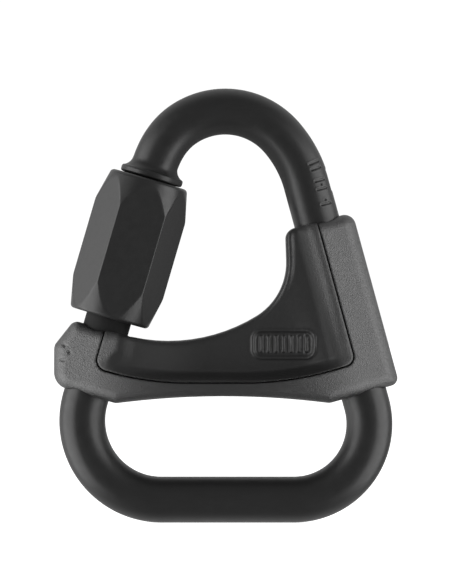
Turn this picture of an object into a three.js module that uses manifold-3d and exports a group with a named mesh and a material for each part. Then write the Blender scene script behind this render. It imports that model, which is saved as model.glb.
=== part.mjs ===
// Triangular screw link (delta quick link) with a two-piece plastic positioning bar.
// Millimetres, +Z up. The link lies in the XZ plane, its thickness runs along Y, and its front faces -Y.
// The origin is below the middle of the base rod, level with its underside.

import * as THREE from 'three';
import { mergeVertices } from 'three/addons/utils/BufferGeometryUtils.js';
import Module from 'manifold-3d';

const wasm = await Module();
wasm.setup();

// Rod and link outline
const ROD_D = 8;
const THREAD_D = 7.2; // pitch diameter of M8 x 1.25, for the plain threaded ends
const BEND_R = 13.1; // the lower bends' centreline
const BEND_X = 11.9;
const LEFT_BEND_R = 13.7; // the left one is a little wider, between the same two straights
const BASE_Z = ROD_D / 2;
const BOW_R = 12.95; // the bow's centreline, left side and top
const BOW_Z = 58.35;
const SHOULDER_R = 20.5; // the bow's right shoulder, a slacker arc
const SHOULDER_START = THREE.MathUtils.degToRad(41);

// Down the left leg, measured from where the bow ends
const COLLAR_TOP = 0.7;
const COLLAR_LENGTH = 1.6;
const COLLAR_D = 10.9;
const FACE_GAP = 0.3; // between faces that touch on the real link
const SLEEVE_TOP = COLLAR_TOP + COLLAR_LENGTH + FACE_GAP;
const SLEEVE_LENGTH = 25;
const UPPER_ENGAGEMENT = 3.5; // threaded end below the collar
const GATE = 7; // the mouth between the two threaded ends
const VISIBLE_SHANK = 2.1;
const LEFT_POST_TOP = SLEEVE_TOP + SLEEVE_LENGTH + VISIBLE_SHANK;

// Screw sleeve
const SLEEVE_AF = 14;
const SLEEVE_TURN = THREE.MathUtils.degToRad(4);
const SLEEVE_END_R = 7;
const SLEEVE_CONE_LENGTH = 5.8;
const SLEEVE_EDGE = 0.6;
const SLEEVE_CORNER = SLEEVE_AF / 2 / Math.cos(Math.PI / 6);
const LINER_D = 10.4;
const LINER_BORE_D = 7.9;
const LINER_LENGTH = 14.5;
const COUNTERBORE_D = 8.6;

// Positioning bar
const BAR_DEPTH = 16;
const BAR_EDGE = 1; // rounding of its front and back edges
// Its front and back fall away towards each leg and beyond it, as flats: [fall per mm, where the fall
// starts, outwards from the leg's axis].
const FALLS = [[0.148, -9.7], [0.45, -5.38]];
const POST_HALF_WIDTH = 6.1;
const POST_OUTER_WIDTH = 6.4; // axis of the right leg to the bar's outer wall
const RIGHT_POST_TOP = 6.9; // down the right leg, from where the bow's shoulder ends
const RIGHT_POST_LENGTH = 30.8;
const LEFT_POST_LENGTH = 11.7;
const LEFT_WALL_X = -29.71;
const CHANNEL_D = ROD_D + 2 * FACE_GAP;
const SEAM_Z = 24.32; // the seam along the bottom strip
const ARCH = new THREE.Vector2(-0.5, 23.05); // corner of the underside's shallow arch
const POCKET_DEPTH = 4.1; // the insert's web is this far below its rim, front and back
const POCKET_WALL = 1.4; // width of the pocket's sloping wall

const ROUND_SIDES = 20;
const ARC_STEP = THREE.MathUtils.degToRad(9);
const CORNER_SEGMENTS = 5;

// ---- Solids ----

function toSolid(geometry) {
  const bare = geometry.clone();
  bare.deleteAttribute('normal');
  bare.deleteAttribute('uv');
  const merged = mergeVertices(bare, 1e-4);
  return new wasm.Manifold(new wasm.Mesh({
    numProp: 3,
    vertProperties: new Float32Array(merged.attributes.position.array),
    triVerts: new Uint32Array(merged.index.array),
  }));
}

function toGeometry(solid) {
  const mesh = solid.getMesh();
  const geometry = new THREE.BufferGeometry();
  geometry.setAttribute('position', new THREE.BufferAttribute(mesh.vertProperties, 3));
  geometry.setIndex(new THREE.BufferAttribute(mesh.triVerts, 1));
  geometry.computeVertexNormals();
  return geometry;
}

function steel(color, roughness) {
  return new THREE.MeshStandardMaterial({ color, roughness, metalness: 0.85 });
}

function plastic(color, roughness) {
  return new THREE.MeshStandardMaterial({ color, roughness, metalness: 0 });
}

function named(name, solid, material) {
  const mesh = new THREE.Mesh(toGeometry(solid), material);
  mesh.name = name;
  return mesh;
}

// ---- Centreline of the rod ----

// Where a straight leg leaves the circle below it and meets the circle above it, on its outer side.
// side is -1 for the left leg and 1 for the right one.
function makeLeg(lower, lowerRadius, upper, upperRadius, side) {
  const across = side * (lower.x - upper.x);
  const up = upper.y - lower.y;
  const lean = Math.atan2(across, up) + Math.asin((lowerRadius - upperRadius) / Math.hypot(across, up));
  const outward = new THREE.Vector2(side * Math.cos(lean), Math.sin(lean));
  const down = new THREE.Vector2(side * Math.sin(lean), -Math.cos(lean));
  return {
    lean,
    outward,
    at: (distance, out) => upper.clone()
      .addScaledVector(outward, upperRadius + out)
      .addScaledVector(down, distance),
  };
}

const bow = new THREE.Vector2(0, BOW_Z);
const shoulder = new THREE.Vector2(Math.cos(SHOULDER_START), Math.sin(SHOULDER_START))
  .multiplyScalar(BOW_R - SHOULDER_R)
  .add(bow);
const rightBend = new THREE.Vector2(BEND_X, BASE_Z + BEND_R);
const leftLeg = makeLeg(new THREE.Vector2(-BEND_X, BASE_Z + BEND_R), BEND_R, bow, BOW_R, -1);
const rightLeg = makeLeg(rightBend, BEND_R, shoulder, SHOULDER_R, 1);
const leftBend = new THREE.Vector2(
  (LEFT_BEND_R - BEND_R) * (1 + Math.sin(leftLeg.lean)) / Math.cos(leftLeg.lean) - BEND_X,
  BASE_Z + LEFT_BEND_R);

function arcPoints(centre, radius, from, to) {
  const steps = Math.ceil(Math.abs(to - from) / ARC_STEP);
  return Array.from({ length: steps + 1 }, (_, i) => {
    const angle = from + (to - from) * i / steps;
    return new THREE.Vector2(Math.cos(angle), Math.sin(angle)).multiplyScalar(radius).add(centre);
  });
}

// A path through chosen stations, so that straight stretches take a single step.
class StationPath extends THREE.Curve {
  constructor(stations) {
    super();
    this.stations = stations.map((p) => new THREE.Vector3(p.x, 0, p.y));
  }

  getPoint(t, target = new THREE.Vector3()) {
    const last = this.stations.length - 1;
    const i = Math.min(Math.floor(t * last + 1e-6), last - 1);
    return target.lerpVectors(this.stations[i], this.stations[i + 1], t * last - i);
  }

  getPointAt(u, target) {
    return this.getPoint(u, target);
  }

  getTangentAt(u, target = new THREE.Vector3()) {
    const last = this.stations.length - 1;
    const i = Math.round(u * last);
    const before = this.stations[Math.max(i - 1, 0)];
    const after = this.stations[Math.min(i + 1, last)];
    const into = this.stations[i].clone().sub(before).normalize();
    const out = after.clone().sub(this.stations[i]).normalize();
    return target.addVectors(into, out).normalize();
  }
}

// From the collar's underside over the bow, down the right leg, along the base and up the left leg.
function rodStations(leftLegEnd) {
  return [
    leftLeg.at(COLLAR_TOP + COLLAR_LENGTH / 2, 0),
    ...arcPoints(bow, BOW_R, Math.PI - leftLeg.lean, SHOULDER_START),
    ...arcPoints(shoulder, SHOULDER_R, SHOULDER_START, rightLeg.lean).slice(1),
    ...arcPoints(rightBend, BEND_R, rightLeg.lean, -Math.PI / 2),
    ...arcPoints(leftBend, LEFT_BEND_R, -Math.PI / 2, -Math.PI - leftLeg.lean),
    leftLeg.at(leftLegEnd, 0),
  ];
}

function rodSolid(diameter, leftLegEnd) {
  const section = new THREE.Shape();
  section.absarc(0, 0, diameter / 2, 0, 2 * Math.PI);
  const path = new StationPath(rodStations(leftLegEnd));
  return toSolid(new THREE.ExtrudeGeometry(section, {
    curveSegments: ROUND_SIDES / 2,
    steps: path.stations.length - 1,
    extrudePath: path,
  }));
}

// Places a solid of revolution on the left leg. Its own +Y becomes up the leg and its own +Z the front.
function onLeftLeg(geometry, distance) {
  const place = leftLeg.at(distance, 0);
  const inward = new THREE.Vector3(Math.cos(leftLeg.lean), 0, -Math.sin(leftLeg.lean));
  const up = new THREE.Vector3(Math.sin(leftLeg.lean), 0, Math.cos(leftLeg.lean));
  const matrix = new THREE.Matrix4().makeBasis(inward, up, new THREE.Vector3(0, -1, 0));
  matrix.setPosition(place.x, 0, place.y);
  return toSolid(geometry.clone().applyMatrix4(matrix));
}

function cylinderOnLeg(diameter, from, to) {
  const geometry = new THREE.CylinderGeometry(diameter / 2, diameter / 2, to - from, ROUND_SIDES);
  return onLeftLeg(geometry, (from + to) / 2);
}

// ---- Link body ----

function collar() {
  const rim = COLLAR_D / 2;
  const round = 0.35;
  const slope = 0.45; // the upper face falls this much from the rod to the rim
  const profile = [
    [0, -COLLAR_LENGTH],
    [rim - round, -COLLAR_LENGTH],
    [rim, -COLLAR_LENGTH + round],
    [rim, -slope - round],
    [rim - round, -slope],
    [ROD_D / 2, 0],
    [0, 0],
  ];
  const points = profile.map(([radius, height]) => new THREE.Vector2(radius, height));
  return onLeftLeg(new THREE.LatheGeometry(points, ROUND_SIDES), COLLAR_TOP);
}

function linkBody() {
  const upperEnd = SLEEVE_TOP + UPPER_ENGAGEMENT;
  const threadEnd = SLEEVE_TOP + SLEEVE_LENGTH - 0.5;
  return rodSolid(ROD_D, threadEnd)
    .add(collar())
    .add(cylinderOnLeg(THREAD_D, COLLAR_TOP + COLLAR_LENGTH / 2, upperEnd))
    .add(cylinderOnLeg(THREAD_D, upperEnd + GATE, threadEnd + 1));
}

// ---- Screw sleeve ----

function sleeveEnvelope() {
  const half = SLEEVE_LENGTH / 2;
  const corner = SLEEVE_CORNER + 0.01;
  const profile = [
    [0, -half],
    [SLEEVE_END_R - SLEEVE_EDGE, -half],
    [SLEEVE_END_R, -half + SLEEVE_EDGE],
    [corner, -half + SLEEVE_CONE_LENGTH],
    [corner, half - SLEEVE_CONE_LENGTH],
    [SLEEVE_END_R, half - SLEEVE_EDGE],
    [SLEEVE_END_R - SLEEVE_EDGE, half],
    [0, half],
  ];
  const points = profile.map(([radius, height]) => new THREE.Vector2(radius, height));
  return new THREE.LatheGeometry(points, 2 * ROUND_SIDES);
}

function screwSleeve() {
  const middle = SLEEVE_TOP + SLEEVE_LENGTH / 2;
  const turn = Math.PI / 6 + SLEEVE_TURN;
  const hexagon = new THREE.CylinderGeometry(
    SLEEVE_CORNER, SLEEVE_CORNER, SLEEVE_LENGTH + 1, 6, 1, false, turn);
  const pocketEnd = SLEEVE_TOP + LINER_LENGTH + FACE_GAP;
  return onLeftLeg(hexagon, middle)
    .intersect(onLeftLeg(sleeveEnvelope(), middle))
    .subtract(cylinderOnLeg(LINER_D + 2 * FACE_GAP, SLEEVE_TOP - 1, pocketEnd))
    .subtract(cylinderOnLeg(COUNTERBORE_D, pocketEnd - 1, SLEEVE_TOP + SLEEVE_LENGTH + 1));
}

function threadLiner() {
  const end = SLEEVE_TOP + LINER_LENGTH;
  return cylinderOnLeg(LINER_D, SLEEVE_TOP, end)
    .subtract(cylinderOnLeg(LINER_BORE_D, SLEEVE_TOP - 1, end + 1));
}

// ---- Positioning bar ----

// A closed outline through corners [point, radius], each rounded by an arc tangent to both its sides.
function roundedOutline(corners) {
  const shape = new THREE.Shape();
  corners.forEach(([corner, radius], i) => {
    const before = corners.at(i - 1)[0].clone().sub(corner).normalize();
    const after = corners[(i + 1) % corners.length][0].clone().sub(corner).normalize();
    const half = Math.acos(THREE.MathUtils.clamp(before.dot(after), -1, 1)) / 2;
    const reach = radius / Math.tan(half);
    const middle = before.clone().add(after).normalize();
    const centre = corner.clone().addScaledVector(middle, radius / Math.sin(half));
    const start = corner.clone().addScaledVector(before, reach).sub(centre);
    const end = corner.clone().addScaledVector(after, reach).sub(centre);
    shape.absarc(centre.x, centre.y, radius, start.angle(), end.angle(), start.cross(end) < 0);
  });
  return shape;
}

// Extrudes an XZ outline along Y between two depths, with its edges rounded by bevel where one is given.
function prism(outline, front, back, bevel = 0) {
  const geometry = new THREE.ExtrudeGeometry(outline, {
    curveSegments: CORNER_SEGMENTS,
    depth: back - front - 2 * bevel,
    bevelEnabled: bevel > 0,
    bevelThickness: bevel,
    bevelSize: bevel,
    bevelOffset: -bevel,
    bevelSegments: 2,
  });
  geometry.rotateX(Math.PI / 2);
  geometry.translate(0, back - bevel, 0);
  return toSolid(geometry);
}

const onRightPost = (down, out) => rightLeg.at(RIGHT_POST_TOP + down, out);
const onLeftPost = (down, out) => leftLeg.at(LEFT_POST_TOP + down, out);
const point = (x, z) => new THREE.Vector2(x, z);

function barOutline() {
  return roundedOutline([
    [point(10.5, 50.7), 1.4],
    [onRightPost(0, POST_OUTER_WIDTH), 2],
    [onRightPost(RIGHT_POST_LENGTH, POST_OUTER_WIDTH), 1.4],
    [onRightPost(RIGHT_POST_LENGTH, -POST_HALF_WIDTH - 0.1), 1.5],
    [ARCH, 140],
    [onLeftPost(LEFT_POST_LENGTH, -5.3), 1.5],
    [point(LEFT_WALL_X, 23.85), 3],
    [point(LEFT_WALL_X, 30.7), 1.5],
    [onLeftPost(0, 5.7), 1.5],
    [point(-5.54, 29.01), 29.3],
    [point(10.78, 39.18), 10.9],
  ]);
}

// The insert's share of the outline, up to each leg's axis. grow widens it on all sides, so that a
// cut can be wider than the piece that fills it.
function insertRegion(grow) {
  const above = -4;
  return roundedOutline([
    [onRightPost(above, grow), 0.5],
    [onRightPost(25.4 + grow, grow), 1.8 + grow],
    [point(11.1, SEAM_Z - grow), 55],
    [point(-12.9, SEAM_Z - grow), 50],
    [onLeftPost(6.9 + grow, grow), 2 + grow],
    [onLeftPost(above, grow), 0.5],
  ]);
}

// In front the insert reaches the legs' axes. Behind, it stops beside the legs, so that it can leave
// forwards, and the shell wraps them.
function insertSpace(grow) {
  const half = BAR_DEPTH / 2 + 1;
  const out = grow - CHANNEL_D / 2 - FACE_GAP / 2;
  const betweenLegs = new THREE.Shape([
    onRightPost(-8, out),
    onRightPost(40, out),
    onLeftPost(20, out),
    onLeftPost(-8, out),
  ]);
  const behind = prism(insertRegion(grow), -1, half).intersect(prism(betweenLegs, -2, half + 1));
  return prism(insertRegion(grow), -half, grow).add(behind);
}

function barBlank() {
  const half = BAR_DEPTH / 2;
  let blank = prism(barOutline(), -half, half, BAR_EDGE);
  for (const leg of [leftLeg, rightLeg]) {
    const axis = leg.at(0, 0).dot(leg.outward);
    for (const [fall, start] of FALLS) {
      for (const face of [-1, 1]) {
        const inward = new THREE.Vector3(-fall * leg.outward.x, -face, -fall * leg.outward.y);
        const offset = -(half + fall * (start + axis)) / inward.length();
        blank = blank.trimByPlane(inward.normalize().toArray(), offset);
      }
    }
  }
  return blank;
}

function rodChannel() {
  return rodSolid(CHANNEL_D, LEFT_POST_TOP - 2);
}

function barShell() {
  return barBlank().subtract(insertSpace(FACE_GAP / 2)).subtract(rodChannel());
}

// The sunken field of the insert's face: it follows the seam and the right post, and runs out over
// the hollow edge.
function webPocket(side) {
  const rim = 1.3;
  const outline = roundedOutline([
    [onRightPost(-4, -rim - 0.9), 1.6],
    [onRightPost(21.5, -rim), 2.5],
    [point(9.5, SEAM_Z + 2.2), 30],
    [point(-12, SEAM_Z + 2.2), 30],
    [point(-20.3, 28.4), 1.6],
    [point(-17.2, 36), 1.6],
    [point(-2, 36), 1.6],
    [point(6, 46), 1.6],
    [point(6, 55), 1.6],
  ]);
  const outer = BAR_DEPTH / 2;
  const geometry = new THREE.ExtrudeGeometry(outline, {
    curveSegments: CORNER_SEGMENTS,
    depth: 1,
    bevelThickness: POCKET_DEPTH,
    bevelSize: POCKET_WALL,
    bevelOffset: -POCKET_WALL,
    bevelSegments: 1,
  });
  geometry.rotateX(Math.PI / 2);
  geometry.translate(0, side * outer + (side > 0 ? 1 : 0), 0);
  return toSolid(geometry);
}

function barInsert() {
  return barBlank()
    .intersect(insertSpace(-FACE_GAP / 2))
    .subtract(rodChannel())
    .subtract(webPocket(-1))
    .subtract(webPocket(1));
}

// ---- Assembly ----

const blackSteel = steel(0x2a2b2c, 0.5);
const sleeveSteel = steel(0x303132, 0.45);
const grainedPlastic = plastic(0x48494b, 0.7);
const smoothPlastic = plastic(0x303133, 0.55);

const screwLink = new THREE.Group();
screwLink.add(
  named('link_body', linkBody(), blackSteel),
  named('screw_sleeve', screwSleeve(), sleeveSteel),
  named('sleeve_thread_liner', threadLiner(), sleeveSteel),
  named('bar_shell', barShell(), grainedPlastic),
  named('bar_insert', barInsert(), smoothPlastic),
);

export default screwLink;
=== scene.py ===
"""Triangular screw link with a two-piece positioning bar: its looks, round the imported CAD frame.

Shapes are worked out in millimetres, +Z up, with the front towards -Y, as in the CAD. make_mesh turns
them into metres. The link lies in the XZ plane, so a 2-D point below is (x, z).
"""

import math

import bpy
import numpy as np
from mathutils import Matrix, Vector


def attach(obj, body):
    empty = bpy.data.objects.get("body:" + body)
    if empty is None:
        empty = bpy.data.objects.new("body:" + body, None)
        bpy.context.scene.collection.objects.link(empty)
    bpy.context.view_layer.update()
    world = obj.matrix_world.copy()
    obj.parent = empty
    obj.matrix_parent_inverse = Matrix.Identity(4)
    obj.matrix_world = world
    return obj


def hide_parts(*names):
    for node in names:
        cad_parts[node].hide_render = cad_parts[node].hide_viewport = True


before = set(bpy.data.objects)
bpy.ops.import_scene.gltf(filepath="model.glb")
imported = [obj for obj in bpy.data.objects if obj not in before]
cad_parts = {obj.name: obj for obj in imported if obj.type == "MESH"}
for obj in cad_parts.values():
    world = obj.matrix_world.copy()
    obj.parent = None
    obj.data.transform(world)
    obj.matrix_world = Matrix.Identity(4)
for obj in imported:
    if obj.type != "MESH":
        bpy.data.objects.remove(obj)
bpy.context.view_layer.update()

MM = 0.001

# ---- Dimensions, as in the CAD ----

ROD_R = 4.0
THREAD_R, THREAD_PITCH = 3.65, 1.25
BEND_R, BEND_X, BASE_Z = 13.1, 11.9, 4.0
LEFT_BEND_R = 13.7
BOW_R, BOW_Z = 12.95, 58.35
SHOULDER_R, SHOULDER_START = 20.5, math.radians(41)

COLLAR_TOP, COLLAR_BOTTOM, COLLAR_R = 0.7, 2.42, 5.5
SLEEVE_TOP, SLEEVE_LENGTH = 2.52, 25.08
SLEEVE_BOTTOM = SLEEVE_TOP + SLEEVE_LENGTH
UPPER_STUB_END = 6.1
LOWER_STUB_END = UPPER_STUB_END + 7.0
THREAD_START = SLEEVE_BOTTOM - 0.5
LEFT_POST_TOP = SLEEVE_BOTTOM + 2.1
RIGHT_POST_TOP = 6.9

FLAT_R = 7.06  # axis to flat
SLEEVE_TURN = math.radians(4)
CONE_LENGTH, UPPER_END_R, LOWER_END_R = 5.8, 6.8, 6.95
LINER_R, LINER_BORE_R, LINER_LENGTH = 5.2, 3.95, 14.5
LINER_GAP = 0.3  # between the sleeve and its threaded part
COUNTERBORE_R = 4.3

HALF_DEPTH = 8.0
POST_HALF_WIDTH, POST_OUTER_WIDTH = 6.1, 6.4
RIGHT_POST_LENGTH, LEFT_POST_LENGTH = 30.8, 11.7
LEFT_WALL_X, SEAM_Z = -29.71, 24.32
ARCH = (-0.5, 22.95)

# ---- Dimensions of the looks only ----

CHANNEL_R = 4.12
SEAM_GAP = 0.18
FALL, FALL_START, FALL_POWER = 0.45, 14.0, 1.6  # how the bar's faces fall towards each leg
RIDGE = (-19.2, 30.3)  # bend of the ridge at the left end of the insert's dish
RIDGE_SIDES = (0.985, -0.174), (0.625, -0.781)  # square to the ridge above and below its bend, to the dish
STEP = 0.22  # spacing of the grid that the bar is meshed from
MARGIN, DEPTH_MARGIN = 0.9, 0.7  # of that grid, round the bar and in front of it and behind it


# ---- The rod's line ----

def vec(x, z):
    return np.array([x, z], float)


def heading(angle):
    return vec(math.cos(angle), math.sin(angle))


class Leg:
    """A straight leg, tangent to the circle below it and the one above it. side is -1 left, 1 right."""

    def __init__(self, lower, lower_r, upper, upper_r, side):
        across, up = side * (lower[0] - upper[0]), upper[1] - lower[1]
        self.lean = math.atan2(across, up) + math.asin((lower_r - upper_r) / math.hypot(across, up))
        self.outward = vec(side * math.cos(self.lean), math.sin(self.lean))
        self.down = vec(side * math.sin(self.lean), -math.cos(self.lean))
        self.start = upper + upper_r * self.outward
        self.length = (lower + lower_r * self.outward - self.start) @ self.down

    def at(self, distance, out=0.0):
        """The point at a distance down the leg, and out from its axis."""
        return self.start + distance * self.down + out * self.outward

    def out(self, x, z):
        """Distance of (x, z) out from the leg's axis."""
        return (x - self.start[0]) * self.outward[0] + (z - self.start[1]) * self.outward[1]


BOW = vec(0, BOW_Z)
SHOULDER = BOW + (BOW_R - SHOULDER_R) * heading(SHOULDER_START)
RIGHT_BEND = vec(BEND_X, BASE_Z + BEND_R)
left = Leg(vec(-BEND_X, BASE_Z + BEND_R), BEND_R, BOW, BOW_R, -1)
right = Leg(RIGHT_BEND, BEND_R, SHOULDER, SHOULDER_R, 1)
# the left bend is a little wider, between the same two straights
LEFT_BEND = vec(
    (LEFT_BEND_R - BEND_R) * (1 + math.sin(left.lean)) / math.cos(left.lean) - BEND_X, BASE_Z + LEFT_BEND_R)


class RodLine:
    """The rod's centreline by arc length: from the stub inside the sleeve up over the bow and round."""

    def __init__(self):
        self.parts = []
        self.straight(left.at(UPPER_STUB_END), left.at(0))
        self.arc(BOW, BOW_R, math.pi - left.lean, SHOULDER_START)
        self.arc(SHOULDER, SHOULDER_R, SHOULDER_START, right.lean)
        self.straight(right.at(0), right.at(right.length))
        self.arc(RIGHT_BEND, BEND_R, right.lean, -math.pi / 2)
        self.straight(vec(BEND_X, BASE_Z), vec(LEFT_BEND[0], BASE_Z))
        self.arc(LEFT_BEND, LEFT_BEND_R, -math.pi / 2, -math.pi - left.lean)
        self.straight(LEFT_BEND + LEFT_BEND_R * left.outward, left.at(LOWER_STUB_END))
        self.length = self.parts[-1][1]

    def add(self, length, place):
        begin = self.parts[-1][1] if self.parts else 0.0
        self.parts.append((begin, begin + length, place))

    def straight(self, a, b):
        length = float(np.linalg.norm(b - a))
        along = (b - a) / length
        self.add(length, lambda s: (a + s * along, along))

    def arc(self, centre, radius, start, end):
        def place(s):
            angle = start - s / radius
            return centre + radius * heading(angle), vec(math.sin(angle), -math.cos(angle))

        self.add(abs(end - start) * radius, place)

    def at(self, s):
        """The point at arc length s, and the direction of the line there."""
        for begin, end, place in self.parts:
            if s <= end or end == self.length:
                return place(s - begin)


LINE = RodLine()


# ---- Meshes ----

def make_mesh(name, points, faces, body, node):
    """A piece made of points in millimetres, riding on a body in place of its CAD node."""
    mesh = bpy.data.meshes.new(name)
    mesh.from_pydata((np.asarray(points, float) * MM).tolist(), [], [list(map(int, f)) for f in faces])
    mesh.validate()
    mesh.shade_smooth()
    piece = bpy.data.objects.new(name, mesh)
    bpy.context.scene.collection.objects.link(piece)
    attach(piece, body)
    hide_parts(node)
    return piece


def grid_faces(rows, columns, wrap_rows=False):
    """Quads of a grid of points, row by row, whose columns close into a ring."""
    last = rows if wrap_rows else rows - 1
    return [
        (
            i * columns + j,
            (i + 1) % rows * columns + j,
            (i + 1) % rows * columns + (j + 1) % columns,
            i * columns + (j + 1) % columns,
        )
        for i in range(last)
        for j in range(columns)
    ]


def spaced(stops):
    """Values through the stops [(value, step), ...], with that step up to the next stop."""
    values = [np.array([stops[0][0]])]
    for (a, step), (b, _) in zip(stops, stops[1:]):
        values.append(np.linspace(a, b, max(1, math.ceil((b - a) / step)) + 1)[1:])
    return np.concatenate(values)


def smoothstep(low, high, value):
    """0 to 1, smoothly, while value goes from low to high."""
    t = np.clip((value - low) / (high - low), 0, 1)
    return t * t * (3 - 2 * t)


def within(value, rise, drop):
    """1 between two ranges (low, high), going up over the first and down over the second."""
    return smoothstep(*rise, value) * (1 - smoothstep(*drop, value))


# ---- Link body: rod, collar and threaded stubs in one skin ----

COLLAR_ROUND = 0.45  # of the rim's edges
COLLAR_SLOPE = 0.42  # height of the rim's sloping upper face
COLLAR_FILLET, COLLAR_CURVE = 1.1, 3.2  # length of the fillet above the slope, and the power of their curve
COLLAR_SHIFT = 0.2  # the collar's centre is this far inwards of the leg's axis
SHIFT_FADE = (-9, -1)  # distances down the leg over which the rod above it comes back to its line
ROD_THREAD, LINER_THREAD = 0.198, 0.08  # height of the thread's wave on the rod and in the sleeve
TIP_LENGTH, TIP_TAPER = 0.6, 0.12  # each threaded end narrows by this share over this length


def collar_radius(d):
    """The rod's radius at distance d down the left leg, round the collar."""
    top, bottom = COLLAR_TOP + COLLAR_SLOPE, COLLAR_BOTTOM
    if d >= top:  # the rim, rounded at both ends
        inset = max(0.0, COLLAR_ROUND - min(d - top, bottom - d))
        return COLLAR_R - COLLAR_ROUND + math.sqrt(max(0.0, COLLAR_ROUND**2 - inset**2))
    # a sloping upper face that runs into the rod through a fillet
    rise = (top - d) / (top + COLLAR_FILLET)
    return ROD_R + (COLLAR_R - COLLAR_ROUND - ROD_R) * max(0.0, 1 - rise) ** COLLAR_CURVE


def thread_wave(d, theta):
    """1 on the crests of the leg's right-hand thread and -1 in its roots.

    d is the distance down the left leg, and theta goes round it from its outer side to the front.
    """
    return np.abs((d / THREAD_PITCH + theta / (2 * math.pi)) % 1 - 0.5) * 4 - 1


def thread_radius(d, theta, to_tip):
    """The radius of a threaded end of the rod, at a distance from its tip."""
    radius = THREAD_R + ROD_THREAD * thread_wave(d, theta)
    return radius * (1 - TIP_TAPER * max(0.0, 1 - to_tip / TIP_LENGTH))


def stroke(u, v, a, b):
    """Distance of (u, v) to the segment from a to b."""
    a, b = np.array(a, float), np.array(b, float)
    along = b - a
    t = np.clip(((u - a[0]) * along[0] + (v - a[1]) * along[1]) / max(along @ along, 1e-9), 0, 1)
    return np.hypot(u - a[0] - t * along[0], v - a[1] - t * along[1])


# Plain punched bars and dots on the outer front of the rod, in millimetres along the rod from the first
# and round it from its outermost line: (along, from, to).
MARKS_START, MARKS_LENGTH = 40.2, 8.2
MARKS = [(0.0, 2.7, 4.7), (0.95, 2.7, 4.7), (2.9, 2.7, 4.7), (3.65, 3.7, 3.7), (4.4, 2.7, 4.7),
         (6.4, 3.7, 3.7), (7.1, 2.7, 4.7)]
MARK_HALF_WIDTH, MARK_DEPTH = 0.15, 0.16
BURR_OFFSET, BURR_WIDTH, BURR_HEIGHT = 0.4, 0.12, 0.02  # the raised skin beside each mark
# The rod's outermost line is flattened a little between two nicks.
FLATTENED_FROM, FLATTENED_TO, FLATTENED_BY, FLATTENED_BLEND = 1.7, 5.0, 0.15, 0.15
NICK_WIDTH, NICK_DEPTH = 0.2, 0.14
# Where round the rod the flat and the nicks rise and end, in millimetres from its outermost line.
FLAT_AROUND, NICKS_AROUND = ((-3.2, -2.9), (0.6, 1.0)), ((-3.0, -2.4), (0.5, 0.9))


def punched(s, v):
    """How far the rod's skin is pushed in, at arc length s and v millimetres round from its outer line."""
    u = s - MARKS_START
    near = np.full(np.broadcast(u, v).shape, 9.0)
    for at, start, end in MARKS:
        near = np.minimum(near, stroke(u, v, (at, start), (at, end)))
    groove = MARK_DEPTH * (1 - smoothstep(MARK_HALF_WIDTH * 0.5, MARK_HALF_WIDTH * 1.8, near))
    burr = -BURR_HEIGHT * np.exp(-(((near - BURR_OFFSET) / BURR_WIDTH) ** 2))
    begins, ends = [(at - FLATTENED_BLEND, at + FLATTENED_BLEND) for at in (FLATTENED_FROM, FLATTENED_TO)]
    flat = within(u, begins, ends) * within(v, *FLAT_AROUND)
    nicks = sum(np.exp(-(((u - at) / NICK_WIDTH) ** 2)) for at in (FLATTENED_FROM, FLATTENED_TO))
    nicks = nicks * within(v, *NICKS_AROUND)
    return groove + burr + FLATTENED_BY * flat + NICK_DEPTH * nicks


def link_body():
    marks_end = MARKS_START + MARKS_LENGTH
    tail = LINE.length
    lower_thread = THREAD_START - LOWER_STUB_END
    s = spaced([  # closer rings on the threads, the collar and the marks
        (0, 0.12), (UPPER_STUB_END - COLLAR_BOTTOM, 0.06), (UPPER_STUB_END + COLLAR_FILLET + 0.2, 0.5),
        (MARKS_START - 1, 0.07), (marks_end, 0.55), (tail - lower_thread - 0.3, 0.12), (tail, 1),
    ])
    theta = spaced([  # closer on the outer front, where the marks are
        (-math.pi, 0.11), (-0.9, 0.05), (0.5, 0.022), (1.3, 0.11), (math.pi, 1),
    ])[:-1]
    points = []
    for here in s:
        centre, along = LINE.at(float(here))
        out = vec(-along[1], along[0])
        d, to_end = UPPER_STUB_END - here, tail - here
        if d > COLLAR_BOTTOM:
            radius = thread_radius(d, theta, here)
        elif here >= tail - lower_thread:
            radius = thread_radius(LOWER_STUB_END + to_end, theta, to_end)
        else:
            radius = np.full(len(theta), collar_radius(d) if d > -COLLAR_FILLET else ROD_R)
            centre = centre - COLLAR_SHIFT * smoothstep(*SHIFT_FADE, d) * left.outward
        if MARKS_START - 1 < here < marks_end:
            radius = radius - punched(here, theta * ROD_R)
        plane = radius * np.cos(theta)
        points.append(np.stack([
            centre[0] + plane * out[0], -radius * np.sin(theta), centre[1] + plane * out[1]], 1))
    columns = len(theta)
    faces = grid_faces(len(s), columns)
    faces.append(tuple(range(columns)))
    faces.append(tuple(range((len(s) - 1) * columns, len(s) * columns))[::-1])
    faces = [face[::-1] for face in faces]
    return make_mesh("link_rod", np.concatenate(points), faces, "link", "link_body")


# ---- Screw sleeve ----

SLEEVE_EDGE_R = 0.26  # between two flats
SLEEVE_END_ROUND = 0.55
FLAT_BLEND = 0.09  # between a flat and a cone
UPPER_CHAMFER, LOWER_CHAMFER = 0.25, 0.35  # of the bore
LINER_CHAMFER, LINER_ROUND = (0.25, 0.3), 0.2  # along and across at the thread's ends, and of the outer edges


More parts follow.
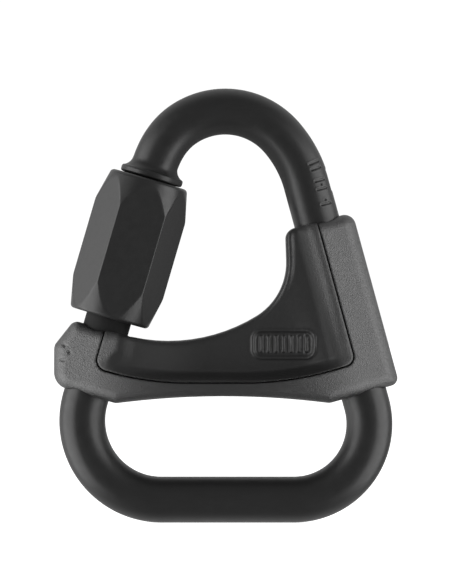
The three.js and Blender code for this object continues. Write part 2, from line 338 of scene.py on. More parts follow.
def hexagon_radius(theta):
    """Axis to the side of a hexagon with rounded edges, whose first edge is at theta 0."""
    delta = np.abs((theta + math.pi / 6) % (math.pi / 3) - math.pi / 6)
    centre = (FLAT_R - SLEEVE_EDGE_R) / math.cos(math.pi / 6)
    touch = math.atan2(SLEEVE_EDGE_R / 2, centre + SLEEVE_EDGE_R * math.cos(math.pi / 6))
    flat = FLAT_R / np.cos(math.pi / 6 - delta)
    under = np.maximum(SLEEVE_EDGE_R**2 - (centre * np.sin(delta)) ** 2, 0)
    return np.where(delta < touch, centre * np.cos(delta) + np.sqrt(under), flat)


def cone_radius(s):
    """The turned outline of the sleeve's ends: a cone, with its end edge rounded."""
    d = min(s, SLEEVE_LENGTH - s)
    end_radius = UPPER_END_R if s < SLEEVE_LENGTH / 2 else LOWER_END_R
    cone = end_radius + (FLAT_R / math.cos(math.pi / 6) - end_radius) / CONE_LENGTH * d
    if d < SLEEVE_END_ROUND:
        cone -= SLEEVE_END_ROUND - math.sqrt(SLEEVE_END_ROUND**2 - (SLEEVE_END_ROUND - d) ** 2)
    return cone


def smooth_min(a, b, k):
    """The smaller of two radii, blended where they are within k of each other."""
    h = np.maximum(k - np.abs(a - b), 0) / k
    return np.minimum(a, b) - h * h * k / 4


def turned_rings(stations, theta):
    """Rings of points round the left leg from [(distance below the sleeve's top, radii), ...]."""
    inward = -left.outward
    rings = []
    for s, radius in stations:
        centre = left.at(SLEEVE_TOP + s)
        across, front = radius * np.sin(theta), radius * np.cos(theta)
        rings.append(np.stack([centre[0] + across * inward[0], -front, centre[1] + across * inward[1]], 1))
    return rings


def screw_sleeve():
    edge = math.radians(3)
    sector = spaced([  # closer at the edges between two flats
        (0, 0.004), (edge, 0.02), (math.pi / 3 - edge, 0.004), (math.pi / 3, 1),
    ])[:-1]
    theta = np.concatenate([sector + k * math.pi / 3 for k in range(6)])
    ends = SLEEVE_END_ROUND * (1 - np.cos(np.linspace(0, math.pi / 2, 9)))
    middle = spaced([  # closer on the cones
        (SLEEVE_END_ROUND, 0.1), (CONE_LENGTH + 0.4, 1.2), (SLEEVE_LENGTH - CONE_LENGTH - 0.4, 0.1),
        (SLEEVE_LENGTH - SLEEVE_END_ROUND, 1),
    ])
    stations = np.concatenate([ends[:-1], middle, SLEEVE_LENGTH - ends[::-1][1:]])
    side = hexagon_radius(theta)
    outer = [(s, smooth_min(side, np.full(len(theta), cone_radius(s)), FLAT_BLEND)) for s in stations]
    ring = np.ones(len(theta))
    pocket, bore_top = LINER_LENGTH + LINER_GAP, LINER_R + LINER_GAP
    inner = [
        (SLEEVE_LENGTH, (COUNTERBORE_R + LOWER_CHAMFER) * ring),
        (SLEEVE_LENGTH - LOWER_CHAMFER, COUNTERBORE_R * ring), (pocket, COUNTERBORE_R * ring),
        (pocket, bore_top * ring), (UPPER_CHAMFER, bore_top * ring), (0, (bore_top + UPPER_CHAMFER) * ring),
    ]
    rings = turned_rings(outer + inner, theta + SLEEVE_TURN + math.pi / 6)
    faces = grid_faces(len(rings), len(theta), wrap_rows=True)
    return make_mesh("hex_sleeve", np.concatenate(rings), faces, "sleeve", "screw_sleeve")


def thread_liner():
    theta = np.linspace(0, 2 * math.pi, 64, endpoint=False)
    along, across = LINER_CHAMFER
    bore = [(s, LINER_BORE_R + LINER_THREAD * thread_wave(SLEEVE_TOP + s, theta + math.pi / 2))
            for s in spaced([(along, 0.15), (LINER_LENGTH - along, 1)])]
    ring = np.ones(len(theta))
    mouth, edge = (LINER_BORE_R + across) * ring, (LINER_R - LINER_ROUND) * ring
    outside = [
        (LINER_LENGTH, mouth), (LINER_LENGTH, edge), (LINER_LENGTH - LINER_ROUND, LINER_R * ring),
        (LINER_ROUND, LINER_R * ring), (0, edge), (0, mouth),
    ]
    rings = turned_rings(bore + outside, theta)
    faces = [face[::-1] for face in grid_faces(len(rings), len(theta), wrap_rows=True)]
    return make_mesh("sleeve_threads", np.concatenate(rings), faces, "sleeve_carriage",
                     "sleeve_thread_liner")


# ---- Positioning bar: solids from fields of distance ----

FRONT, BACK = -1, 1
# Roundings, in millimetres.
SHELL_EDGE, INSERT_EDGE = 2.1, 1.25  # of the bar's front and back edges, and of the insert's hollow edge
EDGE_CHANGE = (-3.5, -0.3)  # from the seam: where the insert's edge goes over to the shell's
THIN_EDGE, THIN_LENGTH = 0.9, 10.0  # how much sharper the shell's edge is at X 0, and how far along X
PARTING_ROUND, SHELL_SEAM_ROUND, INSERT_SEAM_ROUND, CHANNEL_ROUND = 0.3, 0.07, 0.18, 0.25
BEHIND_LEGS = CHANNEL_R + 0.25  # behind, the insert ends this far inwards of the legs' axes

# The slopes round the insert's dish, each as (width, power).
RIGHT_SLOPES = {FRONT: (4.4, 1.5), BACK: (2.652, 1.5)}
LEFT_SLOPES = {FRONT: (3.6, 1.8), BACK: (1.6, 1.8)}
SEAM_SLOPE, SEAM_LEDGE = (1.9, 1.6), 0.25  # the seam's slope begins behind a ledge
# The dish's floor, as half the web's thickness, and how it rises, over ranges of X, of the distance out from
# the right leg's axis and of Z.
WEB_DEPTH = 3.9
LEFT_RISE, LEFT_RISE_X = 2.5, (-20, -3)
RIGHT_RISE, RIGHT_RISE_OUT = 0.6, (-11, -4.6)
CORNER_RISE, CORNER_RISE_OUT, CORNER_RISE_Z = 0.9, (-9, -2), (28, 42)
# A low lip along the upper part of the hollow edge.
LIP, LIP_WIDTH, LIP_BLEND = 0.6, 0.5, 0.7
LIP_X, LIP_OUT, LIP_Z = (-1.0, 3.0), (-3.6, -5.4), (34.5, 44)

# Framed grip ribs on the insert's front, and plain short bars and a dot sunk into the bar's left end.
GRIP, GRIP_SIZE, GRIP_CORNER, GRIP_PITCH = (10.1, 31.0), (11.0, 5.0), 1.6, 1.3
FRAME_HEIGHT, RECESS_DEPTH, RIB_HEIGHT = 0.22, 0.28, 0.42
FRAME_WALL, RECESS_WALL, RIB_WALL, RIB_END = (0.1, 0.34), (-0.75, -0.35), (0.12, 0.42), (-1.25, -0.85)
LEFT_MARKS = [((-28.0, 30.9), (-27.7, 30.7)), ((-28.5, 28.3), (-27.9, 28.2)), ((-26.9, 29.5), (-26.9, 29.5))]
LEFT_MARK_DEPTH, LEFT_MARK_WALL = 0.34, (0.06, 0.34)


def rounded_outline(corners):
    """Points of a closed outline through corners [(point, radius), ...], each rounded by a tangent arc."""
    points = []
    for i, (corner, radius) in enumerate(corners):
        before = corners[i - 1][0] - corner
        after = corners[(i + 1) % len(corners)][0] - corner
        before, after = before / np.linalg.norm(before), after / np.linalg.norm(after)
        half = math.acos(np.clip(before @ after, -1, 1)) / 2
        middle = (before + after) / np.linalg.norm(before + after)
        centre = corner + middle * radius / math.sin(half)
        reach = radius / math.tan(half)
        start, end = corner + before * reach - centre, corner + after * reach - centre
        a = math.atan2(start[1], start[0])
        turn = math.atan2(start[0] * end[1] - start[1] * end[0], start @ end)
        for t in np.linspace(0, 1, 13):
            points.append(centre + radius * heading(a + turn * t))
    return np.array(points)


def outline_distance(outline, x, z):
    """Signed distance of the points (x, z) to a closed outline, negative inside."""
    near = np.full(x.shape, 1e9)
    inside = np.zeros(x.shape, bool)
    for a, b in zip(outline, np.roll(outline, -1, 0)):
        along = b - a
        size = along @ along
        if size < 1e-12:
            continue
        t = np.clip(((x - a[0]) * along[0] + (z - a[1]) * along[1]) / size, 0, 1)
        near = np.minimum(near, (x - a[0] - t * along[0]) ** 2 + (z - a[1] - t * along[1]) ** 2)
        if a[1] != b[1]:
            crosses = (a[1] > z) != (b[1] > z)
            inside ^= crosses & (x < a[0] + (z - a[1]) / along[1] * along[0])
    return np.where(inside, -1, 1) * np.sqrt(near)


def on_right(down, out):
    """A point of the right post, down from its top and out from the leg's axis."""
    return right.at(RIGHT_POST_TOP + down, out)


def on_left(down, out):
    """The same on the left post."""
    return left.at(LEFT_POST_TOP + down, out)


SEAM_DROP_RIGHT, SEAM_DROP_LEFT = 25.4, 6.9  # of the seam's lower corners, down from the posts' tops
ABOVE = -4  # above the posts, where the insert's region ends

# from the insert's upper corner round the right post, under the arch, and back along the hollow edge
BAR_OUTLINE = rounded_outline([
    (vec(10.4, 50.65), 1.9),
    (on_right(0, POST_OUTER_WIDTH), 2),
    (on_right(RIGHT_POST_LENGTH, POST_OUTER_WIDTH), 1.4),
    (on_right(RIGHT_POST_LENGTH, -POST_HALF_WIDTH - 0.1), 1.5),
    (vec(*ARCH), 140),
    (on_left(LEFT_POST_LENGTH, -5.3), 1.5),
    (vec(LEFT_WALL_X, 23.85), 3),
    (vec(LEFT_WALL_X, 30.7), 1.5),
    (on_left(0, 5.7), 1.5),
    (vec(-5.54, 29.01), 29.3),
    (vec(10.78, 39.18), 10.9),
])
# between the legs' axes and above the seam
INSERT_OUTLINE = rounded_outline([
    (on_right(ABOVE, 0), 0.5),
    (on_right(SEAM_DROP_RIGHT, 0), 1.8),
    (vec(11.1, SEAM_Z), 55),
    (vec(-12.9, SEAM_Z), 50),
    (on_left(SEAM_DROP_LEFT, 0), 2),
    (on_left(ABOVE, 0), 0.5),
])


def fall(out):
    """How far the bar's face has fallen at a distance out from a leg's axis, negative inside it."""
    inside = np.clip(1 + out / FALL_START, 0, 1)
    return FALL * (FALL_START / (FALL_POWER + 1) * inside ** (FALL_POWER + 1) + np.maximum(out, 0))


def sloping(distance, width, power):
    """1 at the rim, falling to 0 at width, inwards of it."""
    return np.clip(1 - distance / width, 0, 1) ** power


def joined_max(a, b, radius):
    """The larger of two distances, with the edge where they meet rounded to that radius."""
    over = np.hypot(np.maximum(a + radius, 0), np.maximum(b + radius, 0))
    return np.minimum(np.maximum(a, b), -radius) + over


class BarFields:
    """Everything about the bar that depends only on x and z, on one grid."""

    def __init__(self):
        low, high = BAR_OUTLINE.min(0) - MARGIN, BAR_OUTLINE.max(0) + MARGIN
        self.xs = np.arange(low[0], high[0], STEP)
        self.zs = np.arange(low[1], high[1], STEP)
        self.ys = np.arange(-HALF_DEPTH - DEPTH_MARGIN, HALF_DEPTH + DEPTH_MARGIN + STEP, STEP)
        x, z = np.meshgrid(self.xs, self.zs, indexing="ij")
        self.x, self.z = x, z
        self.outline = outline_distance(BAR_OUTLINE, x, z)
        self.insert = outline_distance(INSERT_OUTLINE, x, z)
        self.out_right, self.out_left = right.out(x, z), left.out(x, z)
        self.rod = self.rod_distance(x, z)
        self.face = HALF_DEPTH - fall(self.out_right) - fall(self.out_left)
        self.web_front = self.web(FRONT)
        self.web_back = self.web(BACK)

    @staticmethod
    def rod_distance(x, z):
        """Distance to the rod's centreline, from the shoulder down: its legs, bends and base."""
        near = np.full(x.shape, 1e9)
        stations = np.concatenate([np.arange(MARKS_START, LINE.length, 0.8), [LINE.length]])
        line = [LINE.at(float(s))[0] for s in stations]
        for a, b in zip(line, line[1:]):
            near = np.minimum(near, stroke(x, z, a, b))
        return near

    def web(self, side):
        """Half the insert's thickness on one side: a dish whose rim meets the face at the seam."""
        x, z, face, out = self.x, self.z, self.face, self.out_right
        # at the left end the front dish stops at a ridge that bends down to the seam, the back one by the leg
        if side == FRONT:
            from_right = -out
            from_left = np.maximum(*[(x - RIDGE[0]) * a + (z - RIDGE[1]) * b for a, b in RIDGE_SIDES])
        else:
            from_right, from_left = -out - BEHIND_LEGS, -self.out_left - BEHIND_LEGS
        at_right = sloping(from_right, *RIGHT_SLOPES[side])
        at_left = sloping(from_left, *LEFT_SLOPES[side])
        at_seam = sloping(-self.insert - SEAM_LEDGE, *SEAM_SLOPE)
        share = 1 - (1 - at_right) * (1 - at_seam) * (1 - at_left)
        floor = WEB_DEPTH + LEFT_RISE * (1 - smoothstep(*LEFT_RISE_X, x))
        floor = floor + RIGHT_RISE * smoothstep(*RIGHT_RISE_OUT, out)
        floor = floor + CORNER_RISE * smoothstep(*CORNER_RISE_OUT, out) * (1 - smoothstep(*CORNER_RISE_Z, z))
        lip = LIP * smoothstep(*LIP_Z, z) * smoothstep(*LIP_X, x) * smoothstep(*LIP_OUT, out)
        lip = lip * np.exp(-((np.maximum(-self.outline - LIP_WIDTH, 0) / LIP_BLEND) ** 2))
        relief = self.grip() if side == FRONT else 0.0
        return np.minimum(floor + (face - floor) * share + lip + relief, face)

    def grip(self):
        """A rounded frame round a row of plain grip ribs, in the middle of a shallow recess."""
        u, v = self.x - GRIP[0], self.z - GRIP[1]
        du = np.abs(u) - GRIP_SIZE[0] / 2 + GRIP_CORNER
        dv = np.abs(v) - GRIP_SIZE[1] / 2 + GRIP_CORNER
        edge = np.hypot(np.maximum(du, 0), np.maximum(dv, 0)) - GRIP_CORNER
        edge = edge + np.minimum(np.maximum(du, dv), 0)
        frame = 1 - smoothstep(*FRAME_WALL, np.abs(edge + FRAME_WALL[0]))
        recess = 1 - smoothstep(*RECESS_WALL, edge)
        rib = np.abs((u / GRIP_PITCH + 0.5) % 1 - 0.5) * GRIP_PITCH
        ribs = (1 - smoothstep(*RIB_WALL, rib)) * (1 - smoothstep(*RIB_END, edge))
        return FRAME_HEIGHT * frame - RECESS_DEPTH * recess + RIB_HEIGHT * ribs

    def left_mark(self):
        """How far the marks of the bar's left end are sunk into its face."""
        near = np.minimum.reduce([stroke(self.x, self.z, a, b) for a, b in LEFT_MARKS])
        return LEFT_MARK_DEPTH * (1 - smoothstep(*LEFT_MARK_WALL, near))


def bar_solids():
    """The bar's fields in the plane, and the distances to its shell and its insert in space."""
    f = BarFields()
    y = f.ys[None, None, :]
    front = y < 0

    def flat(field):
        return field[:, :, None]

    channel = CHANNEL_R - np.hypot(flat(f.rod), y)
    between_legs = np.maximum(np.maximum(f.out_right, f.out_left) + BEHIND_LEGS, f.insert)
    region = np.minimum(joined_max(flat(f.insert), y, PARTING_ROUND), flat(between_legs))

    face = np.where(front, flat(f.face - f.left_mark()), flat(f.face))
    over_face = (np.abs(y) - face) / math.hypot(1, FALL)
    shell_edge = SHELL_EDGE - THIN_EDGE * np.exp(-((f.x / THIN_LENGTH) ** 2))
    shell = joined_max(flat(f.outline), over_face, flat(shell_edge))
    shell = joined_max(shell, SEAM_GAP / 2 - region, SHELL_SEAM_ROUND)
    shell = joined_max(shell, channel, CHANNEL_ROUND)

    over_web = np.where(front, -y - flat(f.web_front), y - flat(f.web_back))
    insert_edge = INSERT_EDGE + (SHELL_EDGE - INSERT_EDGE) * smoothstep(*EDGE_CHANGE, f.insert)
    insert = joined_max(flat(f.outline), over_web, flat(insert_edge))
    insert = joined_max(insert, SEAM_GAP / 2 + region, INSERT_SEAM_ROUND)
    insert = joined_max(insert, channel, CHANNEL_ROUND)
    return f, shell, insert


PINCH_SHIFT = 0.002  # how far past zero a pinched corner's value goes
SKIN_STEPS, LONGEST_STEP = 3, 0.3  # towards the surface, in cells


def sample(field, cell):
    """The field and its slope at points given in cells, between the grid's values."""
    base = np.clip(cell.astype(int), 0, np.array(field.shape) - 2)
    t = cell - base
    corner = {}
    for i in (0, 1):
        for j in (0, 1):
            for k in (0, 1):
                corner[i, j, k] = field[base[:, 0] + i, base[:, 1] + j, base[:, 2] + k]
    weight = [(1 - t[:, a], t[:, a]) for a in range(3)]
    value = np.zeros(len(cell))
    slope = np.zeros((len(cell), 3))
    for (i, j, k), v in corner.items():
        wx, wy, wz = weight[0][i], weight[1][j], weight[2][k]
        value += v * wx * wy * wz
        slope[:, 0] += v * (2 * i - 1) * wy * wz
        slope[:, 1] += v * (2 * j - 1) * wx * wz
        slope[:, 2] += v * (2 * k - 1) * wx * wy
    return value, slope


def unpinched(field):
    """The field, changed where a square's corners are inside and outside by turns, which pinches the skin."""
    field = field.copy()
    turn = ((0, 0), (1, 0), (1, 1), (0, 1))
    for _ in range(4):  # a change may pinch the next square
        for axis in range(3):
            u, v = [k for k in range(3) if k != axis]
            inside = []
            for du, dv in turn:
                part = [slice(None)] * 3
                part[u] = slice(du, field.shape[u] - 1 + du)
                part[v] = slice(dv, field.shape[v] - 1 + dv)
                inside.append(field[tuple(part)] < 0)
            pinched = (inside[0] == inside[2]) & (inside[1] == inside[3]) & (inside[0] != inside[1])
            for place in np.argwhere(pinched):
                corners = []
                for du, dv in turn:
                    corner = place.copy()
                    corner[u] += du
                    corner[v] += dv
                    corners.append(tuple(corner))
                nearest = min(corners, key=lambda corner: abs(field[corner]))
                field[nearest] = -math.copysign(PINCH_SHIFT, field[nearest])
    return field


def skin(field):
    """Points, in cells, and quads of the surface where the field is zero. It is negative inside.

    Each cell that the surface crosses gets one point, at the mean of the crossings on its edges, which then
    steps along the field's slope to the surface.
    """
    field = unpinched(field)
    shape = np.array(field.shape) - 1
    total = np.zeros((*shape, 3), np.float32)
    count = np.zeros(shape, np.float32)
    inside = field < 0
    crossings = []
    for axis in range(3):
        a = np.moveaxis(inside, axis, 0)
        where = np.argwhere(a[:-1] != a[1:])
        others = [k for k in range(3) if k != axis]
        ijk = np.empty_like(where)
        ijk[:, axis] = where[:, 0]
        ijk[:, others[0]], ijk[:, others[1]] = where[:, 1], where[:, 2]
        nxt = ijk.copy()
        nxt[:, axis] += 1
        va, vb = field[tuple(ijk.T)], field[tuple(nxt.T)]
        place = ijk.astype(np.float32)
        place[:, axis] += va / (va - vb)
        crossings.append((axis, others, ijk, va < 0))
        for du in (0, -1):
            for dv in (0, -1):
                cell = ijk.copy()
                cell[:, others[0]] += du
                cell[:, others[1]] += dv
                good = np.all((cell >= 0) & (cell < shape), axis=1)
                index = tuple(cell[good].T)
                np.add.at(total, index, place[good])
                np.add.at(count, index, 1)
    active = count > 0
    number = np.full(shape, -1, np.int64)
    number[active] = np.arange(active.sum())
    points = total[active] / count[active][:, None]
    quads = []
    for axis, others, ijk, starts_inside in crossings:
        corners = []
        for du, dv in ((-1, -1), (0, -1), (0, 0), (-1, 0)):
            cell = ijk.copy()
            cell[:, others[0]] += du
            cell[:, others[1]] += dv
            corners.append(number[tuple(cell.T)])
        quad = np.stack(corners, 1)
        flip = starts_inside if axis != 1 else ~starts_inside
        quad[~flip] = quad[~flip][:, ::-1]
        quads.append(quad)
    for _ in range(SKIN_STEPS):
        value, slope = sample(field, points)
        steps = value[:, None] * slope / np.maximum((slope**2).sum(1), 1e-6)[:, None]
        size = np.linalg.norm(steps, axis=1, keepdims=True)
        points = points - steps * np.minimum(1, LONGEST_STEP / np.maximum(size, 1e-9))
    return points, np.concatenate(quads)


def bar_piece(name, fields, solid, body, node):
    """A half of the bar, meshed from its field and put in its place."""
    points, quads = skin(solid)
    place = np.stack([
        fields.xs[0] + points[:, 0] * STEP, fields.ys[0] + points[:, 2] * STEP,
        fields.zs[0] + points[:, 1] * STEP], 1)
    return make_mesh(name, place, quads[:, ::-1], body, node)


# ---- Materials ----

# Patches where a surface looks different: some duller, some darker with painted shade, some lighter with
# painted light. Places and lengths are in metres, as the meshes are.
BOW_INSIDE, BOW_DULL_R, BOW_BLEND, BOW_DULL = (0.0005, 0.058), 0.0105, 0.0025, 0.72
# Painted shade, with a duller finish, on the left leg's end below the sleeve, which lies in the shadow of the
# sleeve and the bar.
SHANK_SHADE_R, SHANK_SHADE_BLEND, SHANK_DULL, SHANK_SHADE_TONE = 0.0046, 0.001, 0.8, 0.005  # at the end of the left leg
# Painted shade darkens the middle of the bar's shell, where its grain is also finer.
NARROW, NARROW_R, NARROW_BLEND, NARROW_SHADE_TONE = (0, 0.023), 0.008, 0.012, 0.003  # the middle of the bar
# The grained patches beside the left ridge and the right seam are also lighter with painted light.
RIDGE_BLEND = 0.0009
SEAM_INSET, SEAM_BLEND, SEAM_SHARE = 0.0019, 0.0012, 0.7  # beside the right seam
GRAIN, NARROW_GRAIN, PATCH_GRAIN = 0.95, 0.35, 0.9  # strengths of the plastic's bump
PLASTIC_IOR = 1.67  # higher than a real plastic's, for the sheen of its grain


def grey(tone):
    """A plain grey, as a colour."""
    return (tone,) * 3


class Surface:
    """A material made of nodes, in the object's own coordinates, in metres."""

    def __init__(self, name, specular):
        self.made = bpy.data.materials.new(name)
        self.made.use_nodes = True
        self.nodes, self.links = self.made.node_tree.nodes, self.made.node_tree.links
        self.shader = self.nodes["Principled BSDF"]
        self.shader.inputs["Specular IOR Level"].default_value = specular
        self.coordinates = self.nodes.new("ShaderNodeTexCoord").outputs["Object"]

    def drive(self, value, name):
        self.links.new(value, self.shader.inputs[name])

    def noise(self, scale, detail=3.0, roughness=0.5):
        node = self.nodes.new("ShaderNodeTexNoise")
        node.inputs["Scale"].default_value = scale
        node.inputs["Detail"].default_value = detail
        node.inputs["Roughness"].default_value = roughness
        self.links.new(self.coordinates, node.inputs["Vector"])
        return node.outputs["Fac"]

    def spread(self, value, low, high, start=0.3, end=0.7):
        """low to high while value goes from start to end."""
        node = self.nodes.new("ShaderNodeMapRange")
        for key, number in (("From Min", start), ("From Max", end), ("To Min", low), ("To Max", high)):
            node.inputs[key].default_value = number
        self.links.new(value, node.inputs["Value"])
        return node.outputs["Result"]

    def mixed(self, value, dark, light, base=None):
        """dark to light while value goes from 0 to 1. base takes dark's place where it is given."""
        node = self.nodes.new("ShaderNodeMix")
        node.data_type = "RGBA"
        node.inputs["A"].default_value = (*dark, 1)
        node.inputs["B"].default_value = (*light, 1)
        self.links.new(value, node.inputs["Factor"])
        if base is not None:
            self.links.new(base, node.inputs["A"])
        return node.outputs["Result"]

    def bump(self, value, strength, distance, after=None):
        """A bump on top of the one in after. Its strength is a number or a node's value."""
        node = self.nodes.new("ShaderNodeBump")
        node.inputs["Distance"].default_value = distance
        self.links.new(value, node.inputs["Height"])
        if isinstance(strength, (int, float)):
            node.inputs["Strength"].default_value = strength
        else:
            self.links.new(strength, node.inputs["Strength"])
        if after is not None:
            self.links.new(after, node.inputs["Normal"])
        return node.outputs["Normal"]

    def measured(self, operation, vector):
        """A value worked out from the place on the surface and a vector (x, z)."""
        node = self.nodes.new("ShaderNodeVectorMath")
        node.operation = operation
        node.inputs[1].default_value = (vector[0], 0, vector[1])
        self.links.new(self.coordinates, node.inputs[0])
        return node.outputs["Value"]

    def beyond(self, side, offset, blend, most=1):
        """most where the place, measured along side, is beyond offset, fading to 0 over blend before it."""
        return self.spread(self.measured("DOT_PRODUCT", side), 0, most, offset - blend, offset)

    def near(self, point, radius, blend, most=1):
        """most within radius of a point in the plane of the link, fading to 0 over blend."""
        return self.spread(self.measured("DISTANCE", point), most, 0, radius, radius + blend)

    def joined(self, a, b, operation):
        node = self.nodes.new("ShaderNodeMath")
        node.operation = operation
        self.links.new(a, node.inputs[0])
        self.links.new(b, node.inputs[1])
        return node.outputs["Value"]


def sleeve_steel():
    """Coated steel, nearly even."""
    s = Surface("sleeve_steel", 0.7)
    s.drive(s.mixed(s.noise(260, 4), grey(0.015), grey(0.019)), "Base Color")
    s.drive(s.spread(s.noise(900), 0.34, 0.43), "Roughness")
    s.drive(s.bump(s.noise(5200, 2), 0.25, 0.00002), "Normal")
    return s.made


def link_steel():
    """Coated steel, dull inside the bow, and dull with painted shade on the leg's end just below the sleeve.
    """
    s = Surface("link_steel", 0.62)
    shank_shade_and_dull = s.near(left.at(LEFT_POST_TOP) * MM, SHANK_SHADE_R, SHANK_SHADE_BLEND)
    coat = s.mixed(s.noise(260, 4), grey(0.014), grey(0.019))
    # Painted shade: the base colour darkens to near black on the leg's end below the sleeve.
    s.drive(s.mixed(shank_shade_and_dull, grey(0), grey(SHANK_SHADE_TONE), coat), "Base Color")
    gloss = s.spread(s.noise(900), 0.34, 0.43)
    bow = s.near(BOW_INSIDE, BOW_DULL_R, BOW_BLEND, BOW_DULL)
    dull = s.joined(s.spread(shank_shade_and_dull, 0, SHANK_DULL, 0, 1), bow, "MAXIMUM")
    s.drive(s.joined(gloss, dull, "MAXIMUM"), "Roughness")
    s.drive(s.bump(s.noise(5200, 2), 0.3, 0.00002), "Normal")
    return s.made


def grained_plastic():
    """Moulded plastic with a coarse grain that is finer along the narrow middle of the bar, where painted
    shade also darkens it.
    """
    s = Surface("grained_plastic", 1.0)
    s.shader.inputs["IOR"].default_value = PLASTIC_IOR
    middle_shade_and_grain = s.near(NARROW, NARROW_R, NARROW_BLEND)
    tone = s.mixed(s.noise(420, 4), grey(0.01), grey(0.02))
    # Painted shade: the base colour darkens towards the middle of the bar.
    s.drive(s.mixed(middle_shade_and_grain, grey(0.01), grey(NARROW_SHADE_TONE), tone), "Base Color")
    s.drive(s.spread(s.noise(1500), 0.35, 0.46), "Roughness")
    grain = s.spread(middle_shade_and_grain, GRAIN, NARROW_GRAIN, 0, 1)
    s.drive(s.bump(s.noise(5400, 2.5, 0.6), grain, 0.00012), "Normal")
    return s.made


def smooth_plastic():
    """Nearly smooth plastic whose moulded grain shows only beside the two seams, where painted light also
    makes it lighter.
    """
    s = Surface("smooth_plastic", 0.75)
    upper, lower = [s.beyond(-np.array(side), -np.dot(side, RIDGE) * MM, RIDGE_BLEND) for side in RIDGE_SIDES]
    seam = right.outward @ right.start * MM - SEAM_INSET
    by_right_seam = s.beyond(right.outward, seam, SEAM_BLEND, SEAM_SHARE)
    grain_and_light_patches = s.joined(s.joined(upper, lower, "MINIMUM"), by_right_seam, "MAXIMUM")
    # Painted light: the grained patches beside the left ridge and the right seam get a lighter base colour.
    s.drive(s.mixed(grain_and_light_patches, grey(0.02), grey(0.078)), "Base Color")
    s.drive(s.spread(s.noise(1500), 0.38, 0.47), "Roughness")
    fine = s.bump(s.noise(4200, 2.5, 0.6), 0.2, 0.00009)
    grain = s.spread(grain_and_light_patches, 0, PATCH_GRAIN, 0, 1)
    s.drive(s.bump(s.noise(4200, 2.5, 0.6), grain, 0.00014, fine), "Normal")
    return s.made


def paint(piece, made):
    piece.data.materials.clear()
    piece.data.materials.append(made)


paint(link_body(), link_steel())
SLEEVE_STEEL = sleeve_steel()
paint(screw_sleeve(), SLEEVE_STEEL)
paint(thread_liner(), SLEEVE_STEEL)
FIELDS, SHELL, INSERT = bar_solids()
paint(bar_piece("grained_shell", FIELDS, SHELL, "link", "bar_shell"), grained_plastic())
paint(bar_piece("clip_insert", FIELDS, INSERT, "insert", "bar_insert"), smooth_plastic())


# ---- Floor, light and camera ----

FLOOR_SIZE, FLOOR_Z = 8.0, -0.00002
ROOM_LIGHT, BACKDROP_LIGHT = 0.19, 0.62
BACKDROP_FROM, BACKDROP_TO = -0.3, 0.35  # of the direction's Y, where the white backdrop fades in
FLAG, FLAG_LIGHT = (0.83, 0.5, -0.24), 0.22  # direction and light of a grey flag low in the backdrop
FLAG_SIZE, FLAG_BLEND = 0.3, 0.35
SEEN_WHITE, FLOOR_WHITE = 1.05, 0.97  # of the backdrop and the floor, as the camera sees them
MIDDLE = (0, 0, 0.038)
SOFTBOX_AWAY, SOFTBOX_SIZE, SOFTBOX_ELEVATION = 0.5, (0.6, 0.75), -6
SOFTBOXES = [("left_softbox", -77, 3.1), ("right_softbox", 73, 2.9)]  # name, azimuth, watts
CAMERA_DISTANCE, CAMERA_X, CAMERA_Z = 1.2, 0.00013, 0.04
VIEW_HEIGHT = 0.1013  # at the object, as the sensor's width spans the longer side of the image
SENSOR_WIDTH = 36

scene = bpy.context.scene


def white_floor():
    """A floor that shows as plain white and takes no part in the light, as in a cut-out."""
    mesh = bpy.data.meshes.new("floor")
    h = FLOOR_SIZE / 2
    corners = [(-h, -h, FLOOR_Z), (h, -h, FLOOR_Z), (h, h, FLOOR_Z), (-h, h, FLOOR_Z)]
    mesh.from_pydata(corners, [], [(0, 1, 2, 3)])
    floor = bpy.data.objects.new("floor", mesh)
    scene.collection.objects.link(floor)
    for ray in ("visible_diffuse", "visible_glossy", "visible_shadow"):
        setattr(floor, ray, False)
    made = bpy.data.materials.new("floor")
    made.use_nodes = True
    shader = made.node_tree.nodes["Principled BSDF"]
    shader.inputs["Base Color"].default_value = (0.9, 0.9, 0.9, 1)
    shader.inputs["Roughness"].default_value = 0.9
    shader.inputs["Specular IOR Level"].default_value = 0.0
    shader.inputs["Emission Color"].default_value = (1, 1, 1, 1)
    shader.inputs["Emission Strength"].default_value = FLOOR_WHITE
    paint(floor, made)


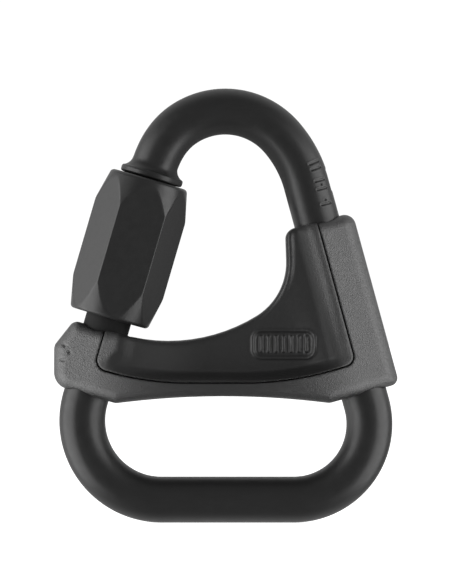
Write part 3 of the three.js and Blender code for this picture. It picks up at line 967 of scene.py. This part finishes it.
def studio_world():
    """A studio that is white behind the object, dim in front of it, and plain white to the camera."""
    scene.world = bpy.data.worlds.new("studio")
    scene.world.use_nodes = True
    nodes, links = scene.world.node_tree.nodes, scene.world.node_tree.links
    direction = nodes.new("ShaderNodeTexCoord").outputs["Generated"]

    def smooth_range(value, *limits):
        node = nodes.new("ShaderNodeMapRange")
        node.interpolation_type = "SMOOTHSTEP"
        for key, number in zip(("From Min", "From Max", "To Min", "To Max"), limits):
            node.inputs[key].default_value = number
        links.new(value, node.inputs["Value"])
        return node

    split = nodes.new("ShaderNodeSeparateXYZ")
    links.new(direction, split.inputs["Vector"])
    behind = smooth_range(split.outputs["Y"], BACKDROP_FROM, BACKDROP_TO, ROOM_LIGHT, BACKDROP_LIGHT)
    from_flag = nodes.new("ShaderNodeVectorMath")
    from_flag.operation = "DISTANCE"
    from_flag.inputs[1].default_value = FLAG
    links.new(direction, from_flag.inputs[0])
    flagged = smooth_range(from_flag.outputs["Value"], FLAG_SIZE, FLAG_SIZE + FLAG_BLEND, FLAG_LIGHT)
    links.new(behind.outputs["Result"], flagged.inputs["To Max"])
    light = nodes["Background"]
    light.inputs["Color"].default_value = (1, 1, 1, 1)
    links.new(flagged.outputs["Result"], light.inputs["Strength"])

    seen = nodes.new("ShaderNodeBackground")
    seen.inputs["Color"].default_value = (1, 1, 1, 1)
    seen.inputs["Strength"].default_value = SEEN_WHITE
    path, either = nodes.new("ShaderNodeLightPath"), nodes.new("ShaderNodeMixShader")
    links.new(path.outputs["Is Camera Ray"], either.inputs["Fac"])
    links.new(light.outputs["Background"], either.inputs[1])
    links.new(seen.outputs["Background"], either.inputs[2])
    links.new(either.outputs["Shader"], nodes["World Output"].inputs["Surface"])


def softbox(name, azimuth, watts):
    """A rectangular area light aimed at the object's middle. Azimuth 0 is the camera's side, + is right."""
    a, e = math.radians(azimuth), math.radians(SOFTBOX_ELEVATION)
    away = np.array([math.sin(a) * math.cos(e), -math.cos(a) * math.cos(e), math.sin(e)])
    lamp = bpy.data.lights.new(name, "AREA")
    lamp.shape = "RECTANGLE"
    lamp.size, lamp.size_y = SOFTBOX_SIZE
    lamp.energy = watts
    holder = bpy.data.objects.new(name, lamp)
    scene.collection.objects.link(holder)
    holder.location = np.array(MIDDLE) + away * SOFTBOX_AWAY
    holder.rotation_mode = "QUATERNION"
    holder.rotation_quaternion = Vector(-away).to_track_quat("-Z", "Y")
    holder.visible_camera = False


def front_camera():
    data = bpy.data.cameras.new("camera")
    data.sensor_width = SENSOR_WIDTH
    data.lens = SENSOR_WIDTH * CAMERA_DISTANCE / VIEW_HEIGHT
    data.clip_start, data.clip_end = 0.01, 20
    camera = bpy.data.objects.new("camera", data)
    scene.collection.objects.link(camera)
    camera.location = (CAMERA_X, -CAMERA_DISTANCE, CAMERA_Z)
    camera.rotation_euler = (math.pi / 2, 0, 0)
    scene.camera = camera


white_floor()
studio_world()
for box in SOFTBOXES:
    softbox(*box)
front_camera()
scene.view_settings.view_transform = "Standard"
scene.view_settings.look = "None"
